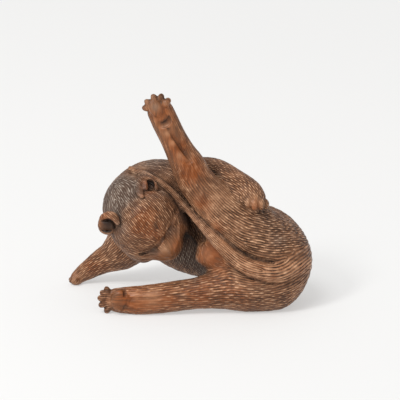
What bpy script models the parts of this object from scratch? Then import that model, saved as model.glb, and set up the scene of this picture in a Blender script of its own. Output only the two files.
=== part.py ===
"""Boxwood carving of a cat that licks its belly with one hind leg raised.

The figure is drawn on a grid of squares, seen from the front and a little above.
Across runs to the right from the middle, up runs from the ground line of the lower
hind leg, and depth runs away from the viewer. Every place and radius of the figure
is in these squares, so the whole carving follows LENGTH.
"""
import math

import bmesh
import bpy
import numpy as np
from mathutils import Matrix, Vector

# The driving size, in metres: from the braced paw to the rump
LENGTH = 0.060

# The drawing grid
SQUARES_LONG = 248
SQUARE = LENGTH / SQUARES_LONG
VIEW_DROP = math.radians(18.0)

# Surface settings, the first three in squares
VOXEL = 2.0
GROUND_SHAVE = 1.0
GROUND_SNAP = 0.004
MOST_TRIANGLES = 8600
LIMB_STEPS = 5
FIT_ROUNDS = 7
LONGEST_STEP = 3.0

# Widths over which forms run into each other, in squares
BODY_BLEND = 16.0
LIMB_BLEND = 9.0
JOIN_BLEND = 5.0
CREASE_BLEND = 1.6
TOE_BLEND = 1.2


def place(across, up, depth):
    """A point of the drawing as x, y, z, in squares."""
    z = (up - depth * math.sin(VIEW_DROP)) / math.cos(VIEW_DROP)
    return np.array([across, depth, z])


def unit(vector):
    vector = np.asarray(vector, float)
    return vector / np.linalg.norm(vector)


class Limb:
    """A tapering round or flattened form along a smooth line.

    A station is (across, up, depth, radius, flatness), and flatness is the radius
    along depth as a share of the radius seen from the front."""

    def __init__(self, stations, placed=False):
        rows = np.array([list(s) for s in stations], float)
        if not placed:
            rows[:, :3] = [place(*r[:3]) for r in rows]
        padded = np.vstack([2 * rows[0] - rows[1], rows, 2 * rows[-1] - rows[-2]])
        samples = []
        for i in range(1, len(padded) - 2):
            a, b, c, d = padded[i - 1 : i + 3]
            for t in np.arange(LIMB_STEPS) / LIMB_STEPS:
                samples.append(
                    0.5 * (2 * b + (c - a) * t + (2 * a - 5 * b + 4 * c - d) * t**2
                           + (3 * b - a - 3 * c + d) * t**3)
                )
        self.line = np.vstack(samples + [rows[-1]])

    def balls(self):
        for row in self.line:
            yield row[:3], np.array([row[3], row[3] * row[4], row[3]]), np.eye(3)

    def measure(self, p):
        nearest = np.full(len(p), 1e9)
        centre = np.zeros_like(p)
        size = np.ones((len(p), 2))
        for start, end in zip(self.line[:-1], self.line[1:]):
            along = end[:3] - start[:3]
            t = np.clip((p - start[:3]) @ along / (along @ along + 1e-9), 0, 1)[:, None]
            row = start + t * (end - start)
            gap = ((p - row[:, :3]) ** 2).sum(1) - row[:, 3] ** 2
            closer = gap < nearest
            nearest = np.where(closer, gap, nearest)
            centre[closer] = row[closer, :3]
            size[closer] = row[closer, 3:5]
        q = p - centre
        flat = np.ones_like(p)
        flat[:, 1] = size[:, 1]
        reach = np.linalg.norm(q / flat, axis=1) + 1e-9
        slope = q / flat**2 / reach[:, None]
        steep = np.linalg.norm(slope, axis=1) + 1e-9
        return (reach - size[:, 0]) / steep, slope / steep[:, None]


class Bulb:
    """An ellipsoid with its own axes, which are the rows of turn."""

    def __init__(self, centre, radii, turn=None, placed=False):
        self.centre = np.array(centre, float) if placed else place(*centre)
        self.radii = np.array(radii, float)
        self.turn = np.eye(3) if turn is None else np.array(turn, float)

    def balls(self):
        yield self.centre, self.radii, self.turn

    def measure(self, p):
        q = (p - self.centre) @ self.turn.T
        reach = np.linalg.norm(q / self.radii, axis=1) + 1e-9
        slope = q / self.radii**2
        steep = np.linalg.norm(slope, axis=1) + 1e-9
        return reach * (reach - 1) / steep, (slope / steep[:, None]) @ self.turn


def merge(first, second, width):
    """Two forms run into each other over this width."""
    h = np.clip(0.5 + 0.5 * (second[0] - first[0]) / width, 0, 1)
    value = second[0] + h * (first[0] - second[0]) - width * h * (1 - h)
    return value, second[1] + h[:, None] * (first[1] - second[1])


def carve(first, second, width):
    """The second form is cut out of the first."""
    value, slope = merge((-first[0], -first[1]), second, width)
    return -value, -slope


# The head's own axes: towards the nose, the cat's left ear and the crown
SEEN_RIGHT = np.array([1.0, 0.0, 0.0])
SEEN_DOWN = np.array([0.0, -math.sin(VIEW_DROP), -math.cos(VIEW_DROP)])
TO_VIEWER = np.array([0.0, -math.cos(VIEW_DROP), math.sin(VIEW_DROP)])
FACE_LINE = unit(0.65 * SEEN_RIGHT + 0.76 * SEEN_DOWN)
NOSE_DIP = math.radians(-4.0)
NOSE_WAY = unit(math.cos(NOSE_DIP) * FACE_LINE - math.sin(NOSE_DIP) * TO_VIEWER)
CROWN_WAY = unit(math.sin(NOSE_DIP) * FACE_LINE + math.cos(NOSE_DIP) * TO_VIEWER)
LEFT_WAY = np.cross(CROWN_WAY, NOSE_WAY)
HEAD_TURN = np.array([NOSE_WAY, LEFT_WAY, CROWN_WAY])
HEAD_CENTRE = place(-46, 93, 24)


def on_head(nose, left, crown):
    """A point of the head from its centre, along its own axes."""
    return HEAD_CENTRE + np.array([nose, left, crown]) @ HEAD_TURN


def head_bulb(spot, radii):
    return Bulb(on_head(*spot), radii, HEAD_TURN, placed=True)


def toes(centre, forward, side, spread, size, angles):
    """Toe beads on an arc round the end of a paw."""
    forward, side = unit(forward), unit(side)
    normal = np.cross(forward, side)
    made = []
    for angle in np.radians(angles):
        way = forward * math.cos(angle) + side * math.sin(angle)
        turn = np.array([way, np.cross(normal, way), normal])
        made.append(Bulb(centre + spread * way, size, turn, placed=True))
    return made


PELVIS = Bulb((70, 53, 30), (51, 42, 48))
TORSO = Limb([
    (64, 66, 46, 44, 0.90),
    (32, 77, 58, 47, 0.72),
    (-4, 87, 66, 46.5, 0.66),
    (-33, 111.5, 64, 43.3, 0.76),
])
FLANK = Limb([
    (22, 84, 28, 22, 0.9),
    (4, 98, 36, 19, 0.9),
    (-12, 117, 46, 19, 0.9),
    (-30, 131, 58, 20, 0.9),
])
NECK = Limb([
    (-46, 109.5, 58, 38.5, 0.85),
    (-55, 106, 44, 35, 0.95),
    (-49, 97, 30, 30, 1.0),
])
RAISED_LEG = Limb([
    (66, 66, 22, 40, 0.80),
    (50, 83, 15, 33, 0.80),
    (30, 104, 12, 23.5, 0.85),
    (13, 122, 12, 19.2, 0.85),
    (3, 135, 12, 17.8, 0.85),
    (-3, 147, 12, 16.8, 0.85),
    (-10.5, 160, 12, 14.6, 0.85),
    (-17.3, 173, 12, 13.2, 0.80),
    (-24.8, 188, 12, 13.2, 0.68),
    (-30.7, 200.5, 12, 13.0, 0.55),
])
LOWER_LEG = Limb([
    (77, 37, 18, 35, 0.85),
    (56, 31, 12, 29.5, 0.85),
    (33, 25, 8, 20.5, 0.90),
    (8, 21.2, 4, 16.2, 0.90),
    (-7, 19.2, 2, 15.6, 0.85),
    (-27, 16.4, 0, 15.4, 0.80),
    (-52, 13.9, -2, 14.8, 0.72),
    (-66, 13.8, -1, 13.8, 0.62),
    (-74, 14, 0, 12.8, 0.55),
])
BRACED_LEG = Limb([
    (-48, 96, 78, 32, 0.8),
    (-64, 71, 84, 24, 0.80),
    (-79, 58, 88, 17, 0.85),
    (-93.5, 50.5, 90, 13, 0.90),
    (-108, 41.5, 90, 9.8, 0.95),
    (-117.5, 35, 88, 7.4, 1.0),
    (-120, 32, 86, 6.4, 1.2),
])
ELBOW = Bulb((-71, 54, 88), (9, 9, 8))
HUGGING_ARM = Limb([
    (-30, 118, 66, 34, 0.8),
    (4, 139, 56, 18, 0.9),
    (23, 140.5, 42, 15.3, 0.9),
    (41.5, 131, 26, 14.3, 0.9),
    (55, 122, 12, 14.0, 0.85),
    (60, 116, 6, 13.0, 0.8),
])
TAIL = Limb([
    (106, 50, 20, 14, 1.0),
    (98, 46.5, 6, 12.0, 1.0),
    (80, 42, -9, 9.8, 1.0),
    (59.4, 46.8, -13, 8.6, 1.0),
    (44.2, 54.8, -11, 7.8, 1.0),
    (32.5, 65.5, -8, 6.7, 1.0),
    (22, 76.5, -3, 6.1, 1.1),
    (10.5, 89.5, 5.5, 5.0, 1.3),
    (-0.5, 101.2, 15, 4.0, 1.5),
    (-9, 110.7, 22.5, 3.5, 1.3),
    (-19, 121.3, 27.5, 3.1, 1.1),
    (-27.7, 128.8, 31, 2.9, 1.1),
    (-39, 136.2, 35, 2.7, 1.1),
    (-47, 140.4, 39, 2.7, 1.1),
    (-55, 143.2, 44.5, 2.9, 1.1),
    (-62, 145.8, 53, 2.5, 1.1),
])
CRANIUM = head_bulb((0, 0, 0), (34, 38, 30))
MUZZLE = head_bulb((25, 0, -3), (22, 20.5, 17))
CHEEKS = [head_bulb((14, -21, -4), (19, 15, 18)), head_bulb((15, 21, -4), (19.5, 15, 18))]
NOSE_BRIDGE = Limb([
    (*on_head(24, -3.7, 15.5), 4.4, 1.0),
    (*on_head(34, -3, 11.5), 4.2, 1.0),
    (*on_head(43.5, -2.6, 4.5), 3.6, 1.0),
], placed=True)
EYE_SOCKETS = [head_bulb((29.5, -15, 13.5), (5, 7.5, 4.6)), head_bulb((28, 13, 17.5), (6, 9, 5))]
BROW_CREASE = Limb([
    (*on_head(12.5, 31.5, 14), 2.2, 1.0),
    (*on_head(15.5, 24.8, 20), 2.6, 1.0),
    (*on_head(18.7, 18.8, 21.5), 2.8, 1.0),
    (*on_head(21.5, 12.3, 22.5), 3.2, 1.0),
    (*on_head(24.4, 4.9, 22), 3.2, 1.0),
    (*on_head(26.0, -2, 20.5), 3.0, 1.0),
    (*on_head(26.3, -9, 18), 3.0, 1.0),
    (*on_head(25, -16.9, 15.5), 2.8, 1.0),
    (*on_head(22.5, -24.5, 11.5), 2.2, 1.0),
], placed=True)


# The upper ear hangs down as a folded leaf: a base, two flaps and a fold between them
UPPER_EAR = [
    Bulb((-45.5, 133, 33), (8.5, 6, 8)),
    Limb([
        (-46, 137, 30, 2.6, 1.0),
        (-51, 132.5, 24, 3.9, 1.0),
        (-53, 126, 18.5, 4.3, 1.0),
        (-51.5, 120.5, 12.5, 3.4, 1.0),
        (-49.3, 117.3, 8.5, 2.0, 1.0),
    ]),
    Limb([
        (-46, 137, 30, 2.4, 1.0),
        (-42, 134.5, 27, 2.8, 1.0),
        (-38, 130, 24, 2.8, 1.0),
        (-35, 125.5, 20, 2.2, 1.0),
    ]),
]
UPPER_EAR_HOLLOW = Bulb((-41.8, 128.5, 22), (4.6, 5.0, 7))
UPPER_EAR_FOLD = Limb([
    (-47, 134, 26, 1.9, 1.0),
    (-46.3, 129.5, 21, 2.4, 1.0),
    (-45.5, 125.5, 17.5, 2.2, 1.0),
])
# The lower ear is a shallow cup with a thick rim round its upper side
LOWER_EAR = Bulb((-84, 88.5, 13), (9.6, 10.6, 9))
LOWER_EAR_HOLLOW = Bulb((-85, 85.8, 2.5), (8.2, 8.0, 5))
LOWER_EAR_RIM = Limb([
    (-91.5, 92, 9, 1.8, 1.0),
    (-88, 97.3, 6, 3.0, 1.2),
    (-82, 99.3, 4, 3.6, 1.4),
    (-76.8, 97, 2.5, 3.8, 1.2),
    (-73.6, 91.5, 1.0, 2.7, 1.0),
])
EAR_HOLLOWS = [UPPER_EAR_HOLLOW, LOWER_EAR_HOLLOW]
LEG_RUN = unit((-0.46, 0, 0.887))
LEG_TURN = np.array([LEG_RUN, (0, 1, 0), np.cross(LEG_RUN, (0, 1, 0))])
PADS = [
    Bulb((-35.5, 203.5, 5.5), (10, 4.5, 6.6), LEG_TURN),
    Bulb((-26, 208.5, 6.5), (4.2, 3.5, 3.8), LEG_TURN),
    Bulb((-74.5, 13.5, -7), (6.5, 4.5, 10)),
    Bulb((-71.5, 20, -7), (4.5, 3.5, 4.2)),
    Bulb((-68.5, 13, -7), (4.5, 3.7, 4.5)),
    Bulb((-70, 6, -7), (4.5, 3.5, 4.2)),
]
LOWER_TOES = toes(place(-79, 14, 0), (-1, 0, 0), (0, 0, 1), 10.9, (5.0, 3.3, 4.4),
                  (-61, -24, 9, 36, 61))
RAISED_TOES = toes(place(-33, 203.5, 10), LEG_RUN, (0.887, 0, 0.46), 11.2,
                   (4.6, 3.3, 4.4), (-59, -30, 7, 41, 78))
TENDON_GROOVE = Limb([
    (-21, 181, 0.5, 1.8, 1.0),
    (-14, 171, 0.5, 2.8, 1.0),
    (-8, 162, 0.5, 2.8, 1.0),
    (-3, 155.5, 0.0, 1.8, 1.0),
])
ARM_TOE_TURN = np.array([[1, 0, 0], [0, 0.94, -0.34], [0, 0.34, 0.94]])
ARM_TOES = [
    Bulb((across, up, depth), (3.5, 4.2, length), ARM_TOE_TURN)
    for across, up, depth, length in [
        (50, 115.0, -1, 4.0),
        (54.8, 111.5, -3, 5.5),
        (61.6, 109.8, -3.5, 6.0),
        (68.4, 109.8, -1, 6.0),
        (73.0, 110.0, 4, 5.0),
    ]
]
BRACED_TOES = toes(place(-119, 32, 85), (-0.8, -0.6, -0.1), (0.6, -0.8, 0), 5.5,
                   (3.6, 2.2, 2.6), (-45, -12, 20, 50))
GROIN_BUMP = Bulb((18, 57, 15), (14, 9, 9))
RECESS = Limb([
    (-12, 108, 24, 3, 1.0),
    (-4, 96, 20, 5, 1.5),
    (2, 85, 18, 8, 1.8),
    (7, 75, 18, 8, 1.8),
])
HAUNCH = Bulb((76, 58, 52), (37, 26, 34))
SHOULDER = Bulb((-36, 104, 84), (25, 17, 30))


def figure(p):
    """Signed distance to the carving and its direction, in squares."""
    found = PELVIS.measure(p)
    found = merge(found, TORSO.measure(p), BODY_BLEND)
    for form in (HAUNCH, SHOULDER):
        found = merge(found, form.measure(p), LIMB_BLEND)
    found = merge(found, FLANK.measure(p), LIMB_BLEND)
    found = merge(found, RAISED_LEG.measure(p), JOIN_BLEND)
    found = merge(found, LOWER_LEG.measure(p), LIMB_BLEND)
    found = merge(found, NECK.measure(p), BODY_BLEND)
    found = merge(found, BRACED_LEG.measure(p), LIMB_BLEND)
    found = merge(found, ELBOW.measure(p), LIMB_BLEND)
    found = carve(found, RECESS.measure(p), JOIN_BLEND)
    found = merge(found, GROIN_BUMP.measure(p), BODY_BLEND)
    found = carve(found, TENDON_GROOVE.measure(p), JOIN_BLEND)
    head = CRANIUM.measure(p)
    for form in [*CHEEKS, MUZZLE]:
        head = merge(head, form.measure(p), JOIN_BLEND)
    for form in EYE_SOCKETS:
        head = carve(head, form.measure(p), JOIN_BLEND)
    head = merge(head, NOSE_BRIDGE.measure(p), JOIN_BLEND)
    head = carve(head, BROW_CREASE.measure(p), CREASE_BLEND)
    for form in [LOWER_EAR, *UPPER_EAR]:
        head = merge(head, form.measure(p), CREASE_BLEND)
    for form in EAR_HOLLOWS:
        head = carve(head, form.measure(p), CREASE_BLEND)
    for form in (UPPER_EAR_FOLD, LOWER_EAR_RIM):
        head = merge(head, form.measure(p), CREASE_BLEND)
    found = merge(found, head, JOIN_BLEND)
    found = merge(found, HUGGING_ARM.measure(p), JOIN_BLEND)
    found = merge(found, TAIL.measure(p), CREASE_BLEND)
    for form in PADS:
        found = merge(found, form.measure(p), CREASE_BLEND)
    for form in LOWER_TOES + RAISED_TOES + ARM_TOES + BRACED_TOES:
        found = merge(found, form.measure(p), TOE_BLEND)
    return found


# The rough body is cut by the recess before the rest is added in front of it
BODY_FORMS = [
    PELVIS, TORSO, HAUNCH, SHOULDER, FLANK, NECK, RAISED_LEG, LOWER_LEG, BRACED_LEG, ELBOW,
]
FRONT_FORMS = [
    GROIN_BUMP, CRANIUM, MUZZLE, *CHEEKS, NOSE_BRIDGE, *UPPER_EAR, UPPER_EAR_FOLD,
    LOWER_EAR, LOWER_EAR_RIM, HUGGING_ARM, TAIL,
    *PADS, *LOWER_TOES, *RAISED_TOES, *ARM_TOES, *BRACED_TOES,
]


def add_balls(forms, name):
    """An object of one ball for each step along the forms."""
    bm = bmesh.new()
    for form in forms:
        for centre, radii, turn in form.balls():
            matrix = Matrix.Translation(Vector(centre * SQUARE))
            matrix = matrix @ Matrix(turn.T.tolist()).to_4x4()
            matrix = matrix @ Matrix.Diagonal((*(radii * SQUARE), 1.0))
            bmesh.ops.create_icosphere(bm, subdivisions=3, radius=1.0, matrix=matrix)
    mesh = bpy.data.meshes.new(name)
    bm.to_mesh(mesh)
    bm.free()
    made = bpy.data.objects.new(name, mesh)
    bpy.context.scene.collection.objects.link(made)
    return made


def add_remesh(owner, name):
    remesh = owner.modifiers.new(name, "REMESH")
    remesh.mode = "VOXEL"
    remesh.voxel_size = VOXEL * SQUARE


def evaluated_mesh(owner):
    graph = bpy.context.evaluated_depsgraph_get()
    return bpy.data.meshes.new_from_object(owner.evaluated_get(graph))


def rough_shape():
    """The forms as overlapping balls, made one closed mesh."""
    body = add_balls(BODY_FORMS, "body")
    gap = add_balls([RECESS], "gap")
    add_remesh(body, "one_body")
    cut = body.modifiers.new("recess", "BOOLEAN")
    cut.operation = "DIFFERENCE"
    cut.solver = "EXACT"
    cut.use_self = True
    cut.object = gap
    front = add_balls(FRONT_FORMS, "front")
    bm = bmesh.new()
    bm.from_mesh(evaluated_mesh(body))
    bm.from_mesh(front.data)
    bm.to_mesh(front.data)
    bm.free()
    add_remesh(front, "even_faces")
    joined = evaluated_mesh(front)
    for helper in (body, gap, front):
        bpy.data.objects.remove(helper)
    return joined


def neighbours(mesh):
    """Each edge both ways, for averaging over a vertex's neighbours."""
    ends = np.zeros(len(mesh.edges) * 2, np.int64)
    mesh.edges.foreach_get("vertices", ends)
    ends = ends.reshape(-1, 2)
    return np.concatenate([ends[:, 0], ends[:, 1]]), np.concatenate([ends[:, 1], ends[:, 0]])


def fit_to_figure(mesh):
    """Moves the vertices onto the figure's surface and evens them out along it."""
    count = len(mesh.vertices)
    p = np.zeros(count * 3)
    mesh.vertices.foreach_get("co", p)
    p = p.reshape(-1, 3) / SQUARE
    here, there = neighbours(mesh)
    valence = np.bincount(here, minlength=count)[:, None]
    for turn in range(FIT_ROUNDS):
        value, slope = figure(p)
        steep = (slope**2).sum(1) + 1e-6
        step = np.clip(value / steep, -LONGEST_STEP, LONGEST_STEP)
        p = p - step[:, None] * slope
        if turn < FIT_ROUNDS - 2:
            mean = np.stack([np.bincount(here, p[there, i], count) for i in range(3)], 1) / valence
            slide = mean - p
            normal = slope / np.sqrt(steep)[:, None]
            slide -= (slide * normal).sum(1)[:, None] * normal
            p = p + 0.5 * slide
    mesh.vertices.foreach_set("co", (p * SQUARE).ravel())
    mesh.update()


def thin_out(carving):
    """Fewer triangles, closest together where the form turns most."""
    decimate = carving.modifiers.new("thin_out", "DECIMATE")
    decimate.ratio = MOST_TRIANGLES / (2 * len(carving.data.polygons))
    decimate.use_collapse_triangulate = True
    thinned = evaluated_mesh(carving)
    carving.modifiers.clear()
    carving.data = thinned


def rest_on_ground(mesh):
    """Cuts the underside flat, and puts the middle of it at the origin."""
    bm = bmesh.new()
    bm.from_mesh(mesh)
    bmesh.ops.bisect_plane(
        bm,
        geom=bm.verts[:] + bm.edges[:] + bm.faces[:],
        dist=GROUND_SNAP * SQUARE,
        plane_co=(0, 0, GROUND_SHAVE * SQUARE),
        plane_no=(0, 0, 1),
        clear_inner=True,
    )
    rims = [edge for edge in bm.edges if edge.is_boundary]
    bmesh.ops.holes_fill(bm, edges=rims)
    bmesh.ops.triangulate(bm, faces=bm.faces[:])
    spots = np.array([vert.co for vert in bm.verts])
    low, high = spots.min(0), spots.max(0)
    middle = ((low[0] + high[0]) / 2, (low[1] + high[1]) / 2, low[2])
    bmesh.ops.translate(bm, verts=bm.verts[:], vec=-Vector(middle))
    bmesh.ops.recalc_face_normals(bm, faces=bm.faces[:])
    bm.to_mesh(mesh)
    bm.free()


def boxwood():
    """Reddish-brown stained boxwood with a hand-rubbed polish."""
    wood = bpy.data.materials.new("boxwood")
    wood.use_nodes = True
    surface = wood.node_tree.nodes["Principled BSDF"]
    surface.inputs["Base Color"].default_value = (0.17, 0.065, 0.028, 1.0)
    surface.inputs["Roughness"].default_value = 0.42
    surface.inputs["Metallic"].default_value = 0.0
    return wood


def main():
    for old in list(bpy.data.objects):
        bpy.data.objects.remove(old)
    figures = bpy.data.collections.new("boxwood_cat_carving")
    bpy.context.scene.collection.children.link(figures)
    mesh = rough_shape()
    fit_to_figure(mesh)
    carving = bpy.data.objects.new("cat_carving", mesh)
    figures.objects.link(carving)
    thin_out(carving)
    rest_on_ground(carving.data)
    carving.data.materials.append(boxwood())


if __name__ == "__main__":
    main()
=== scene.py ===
"""The looks of the boxwood cat carving: fine relief, cut hair, finish, floor, light and camera."""

import math

import bmesh
import bpy
import numpy as np
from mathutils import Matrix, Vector, noise


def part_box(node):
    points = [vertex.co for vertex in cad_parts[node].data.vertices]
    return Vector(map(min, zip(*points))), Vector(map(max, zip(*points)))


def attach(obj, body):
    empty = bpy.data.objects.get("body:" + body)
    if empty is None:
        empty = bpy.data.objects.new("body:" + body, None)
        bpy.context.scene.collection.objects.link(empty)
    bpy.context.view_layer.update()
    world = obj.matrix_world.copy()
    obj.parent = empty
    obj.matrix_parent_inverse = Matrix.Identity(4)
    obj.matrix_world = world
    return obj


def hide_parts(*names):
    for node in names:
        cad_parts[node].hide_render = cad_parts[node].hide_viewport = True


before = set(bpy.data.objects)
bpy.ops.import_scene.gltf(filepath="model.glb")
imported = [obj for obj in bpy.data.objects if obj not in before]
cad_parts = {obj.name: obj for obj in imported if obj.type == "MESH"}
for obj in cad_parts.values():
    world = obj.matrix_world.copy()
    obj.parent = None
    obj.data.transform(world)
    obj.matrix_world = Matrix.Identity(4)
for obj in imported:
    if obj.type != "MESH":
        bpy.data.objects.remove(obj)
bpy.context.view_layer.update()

bl_info = {
    "name": "Boxwood Cat Carving",
    "version": (1, 0, 0),
    "blender": (4, 5, 0),
    "location": "3D View > Sidebar > Carving",
    "description": "Cuts the hair and fine relief of a boxwood cat and sets it on a pale floor",
    "category": "Object",
}

# The drawing grid. Across runs to the right, up is what the viewer sees as up, and depth
# runs away from the viewer, who looks down by VIEW_DROP. All forms are in its squares.
SQUARES_LONG = 248.15
VIEW_DROP = math.radians(18.0)
BOX_MIDDLE = (-3.099, 41.38)
GROUND_SHAVE = 1.0
SOLID_LOW, SOLID_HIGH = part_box("cat_carving")
SQUARE = (SOLID_HIGH.x - SOLID_LOW.x) / SQUARES_LONG
ORIGIN = np.array([
    BOX_MIDDLE[0] - (SOLID_LOW.x + SOLID_HIGH.x) / 2 / SQUARE,
    BOX_MIDDLE[1] - (SOLID_LOW.y + SOLID_HIGH.y) / 2 / SQUARE,
    GROUND_SHAVE,
])

# Widths over which forms run into each other, in squares
BODY_BLEND = 16.0
LIMB_BLEND = 9.0
JOIN_BLEND = 5.0
CREASE_BLEND = 1.6
TOE_BLEND = 1.2
FINE_BLEND = 1.5
RIDGE_BLEND = 2.0

# How the forms are worked out and the fine mesh is fitted to them, in squares where
# it is a length
LIMB_STEPS = 5
NEAR = 22.0
FAR = 60.0
FIT_ROUNDS = 6
SETTLE_ROUNDS = 2
SLIDE_SHARE = 0.5
LONGEST_STEP = 2.5

# How a fine line is laid on the surface: rounds, share of the gap per round, longest step
LAY_ROUNDS = 60
LAY_SHARE = 0.9
LAY_STEP = 15.0
RIDGE_SUNK = 0.5

# How much wider than the tail its bed is cut, in squares
BED_MARGIN = 0.7

# How far a comb rules beyond its own spot or form, in squares
COMB_REACH = 3.0

# How a coloured or smooth spot fades: its rate, and the edge of a flat and of a soft spot
SPOT_FADE = 1.4
FLAT_SPOT = 4
SOFT_SPOT = 2

# How strokes stray from the comb: (amount, width of the noise in squares, seed), and the
# share of their depth that they stray from
STRAY_ACROSS = [(0.7, 9.0, 11.0), (0.4, 4.0, 23.0)]
STRAY_ALONG = [(2.6, 7.0, 37.0)]
STRAY_DEPTH = [(0.3, 14.0, 5.0)]
EVEN_DEPTH = 0.9

PHASE_KEPT = 0.2

# Strokes longer than this run as lines, fully so after a further run, and stray less
LINE_LENGTH = 10.0
LINE_RUN = 16.0
LINE_HELD = 0.8

# Tufts are cut into the mesh where strokes are this far apart, fully so after a further run
TUFT_GAP = 1.4
TUFT_RUN = 0.8
TUFT_SWELL = 0.4
GROUND_EDGE = 0.05

# How dark a cut is: with no depth, the depth that adds 1 to it, and at most
FAINT_CUT = 0.35
DARKER_DEPTH = 0.5
MOST_CUT = 1.2

# Streaks of the grain: seed, rounds of spreading, share kept per round, how closely they
# follow the hair, and contrast
STREAK_SEED = 7
STREAK_ROUNDS = 14
STREAK_KEPT = 0.3
STREAK_FOLLOWS = 6
STREAK_CONTRAST = 0.25

# How the shade of hollows is felt for: distance from the surface and its share
SHADE_REACHES = [(3.5, 0.25), (9.0, 0.35), (20.0, 0.4)]
DEEPEST_SHADE = 1.2

# Grain of the wood: patterns per metre, detail and roughness of the noise
BLOTCH = (90.0, 3.0, 0.55)
PATCH = (230.0, 2.0, 0.6)
MOTTLE = (560.0, 3.0, 0.6)
SCRATCH = (2600.0, 2.0, 0.6)

# Shine of the wood
WOOD_SHINE = 0.24
WAX = 0.06
WAX_ROUGHNESS = 0.3

# The floor's paper: clouds per metre and their detail, their tone, roughness, shine and tint of glow
PAPER_CLOUDS = (3.0, 2.0)
CLOUD_TONE = 0.97
PAPER_ROUGHNESS = 0.8
PAPER_SHINE = 0.1
GLOW_TINT = (1.0, 0.997, 0.99, 1)

# Lights, as places in metres, and the camera's aim as across, up and depth
TOP_LIGHT = (-0.20, -0.28, 0.60)
SIDE_LIGHT = (-0.30, -0.30, 0.40)
SUN_SPREAD = math.radians(24)
LAMP_SIZE = 0.12
AIM = (8, 114, 30)
SENSOR = 36.0
NEAREST_SEEN = 0.01


def place(across, up, depth):
    """A point of the drawing as x, y, z, in squares."""
    z = (up - depth * math.sin(VIEW_DROP)) / math.cos(VIEW_DROP)
    return np.array([across, depth, z])


def unit(vector):
    vector = np.asarray(vector, float)
    return vector / np.linalg.norm(vector)


class Form:
    """A shape that gives its distance and direction at points, worked out only near it."""

    def reach(self, low, high):
        self.low = low - NEAR
        self.high = high + NEAR

    def __call__(self, p):
        value = np.full(len(p), FAR)
        slope = np.zeros_like(p)
        close = np.all((p > self.low) & (p < self.high), axis=1)
        if close.any():
            value[close], slope[close] = self.measure(p[close])
        return value, slope


class Limb(Form):
    """A tapering round or flattened form along a smooth line.

    A station is (across, up, depth, radius, flatness), and flatness is the radius
    along depth as a share of the radius seen from the front."""

    def __init__(self, stations, placed=False):
        rows = np.array([list(s) for s in stations], float)
        if not placed:
            rows[:, :3] = [place(*r[:3]) for r in rows]
        padded = np.vstack([2 * rows[0] - rows[1], rows, 2 * rows[-1] - rows[-2]])
        samples = []
        for i in range(1, len(padded) - 2):
            a, b, c, d = padded[i - 1 : i + 3]
            for t in np.arange(LIMB_STEPS) / LIMB_STEPS:
                samples.append(
                    0.5 * (2 * b + (c - a) * t + (2 * a - 5 * b + 4 * c - d) * t**2
                           + (3 * b - a - 3 * c + d) * t**3)
                )
        self.line = np.vstack(samples + [rows[-1]])
        thick = self.line[:, 3].max()
        self.reach(self.line[:, :3].min(0) - thick, self.line[:, :3].max(0) + thick)

    def measure(self, p):
        nearest = np.full(len(p), 1e9)
        centre = np.zeros_like(p)
        size = np.ones((len(p), 2))
        for start, end in zip(self.line[:-1], self.line[1:]):
            along = end[:3] - start[:3]
            t = np.clip((p - start[:3]) @ along / (along @ along + 1e-9), 0, 1)[:, None]
            row = start + t * (end - start)
            gap = ((p - row[:, :3]) ** 2).sum(1) - row[:, 3] ** 2
            closer = gap < nearest
            nearest = np.where(closer, gap, nearest)
            centre[closer] = row[closer, :3]
            size[closer] = row[closer, 3:5]
        q = p - centre
        flat = np.ones_like(p)
        flat[:, 1] = size[:, 1]
        reach = np.linalg.norm(q / flat, axis=1) + 1e-9
        slope = q / flat**2 / reach[:, None]
        steep = np.linalg.norm(slope, axis=1) + 1e-9
        return (reach - size[:, 0]) / steep, slope / steep[:, None]


class Bulb(Form):
    """An ellipsoid with its own axes, which are the rows of turn."""

    def __init__(self, centre, radii, turn=None, placed=False):
        self.centre = np.array(centre, float) if placed else place(*centre)
        self.radii = np.array(radii, float)
        self.turn = np.eye(3) if turn is None else np.array(turn, float)
        self.reach(self.centre - self.radii.max(), self.centre + self.radii.max())

    def measure(self, p):
        q = (p - self.centre) @ self.turn.T
        reach = np.linalg.norm(q / self.radii, axis=1) + 1e-9
        slope = q / self.radii**2
        steep = np.linalg.norm(slope, axis=1) + 1e-9
        return reach * (reach - 1) / steep, (slope / steep[:, None]) @ self.turn


def merge(first, second, width):
    """Two forms run into each other over this width."""
    h = np.clip(0.5 + 0.5 * (second[0] - first[0]) / width, 0, 1)
    value = second[0] + h * (first[0] - second[0]) - width * h * (1 - h)
    return value, second[1] + h[:, None] * (first[1] - second[1])


def carve(first, second, width):
    """The second form is cut out of the first."""
    value, slope = merge((-first[0], -first[1]), second, width)
    return -value, -slope


# The head's own axes: towards the nose, the cat's left ear and the crown
SEEN_RIGHT = np.array([1.0, 0.0, 0.0])
SEEN_DOWN = np.array([0.0, -math.sin(VIEW_DROP), -math.cos(VIEW_DROP)])
TO_VIEWER = np.array([0.0, -math.cos(VIEW_DROP), math.sin(VIEW_DROP)])
FACE_LINE = unit(0.65 * SEEN_RIGHT + 0.76 * SEEN_DOWN)
NOSE_DIP = math.radians(-4.0)
NOSE_WAY = unit(math.cos(NOSE_DIP) * FACE_LINE - math.sin(NOSE_DIP) * TO_VIEWER)
CROWN_WAY = unit(math.sin(NOSE_DIP) * FACE_LINE + math.cos(NOSE_DIP) * TO_VIEWER)
LEFT_WAY = np.cross(CROWN_WAY, NOSE_WAY)
HEAD_TURN = np.array([NOSE_WAY, LEFT_WAY, CROWN_WAY])
HEAD_CENTRE = place(-46, 93, 24)


def on_head(nose, left, crown):
    """A point of the head from its centre, along its own axes."""
    return HEAD_CENTRE + np.array([nose, left, crown]) @ HEAD_TURN


def head_bulb(spot, radii):
    return Bulb(on_head(*spot), radii, HEAD_TURN, placed=True)


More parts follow.
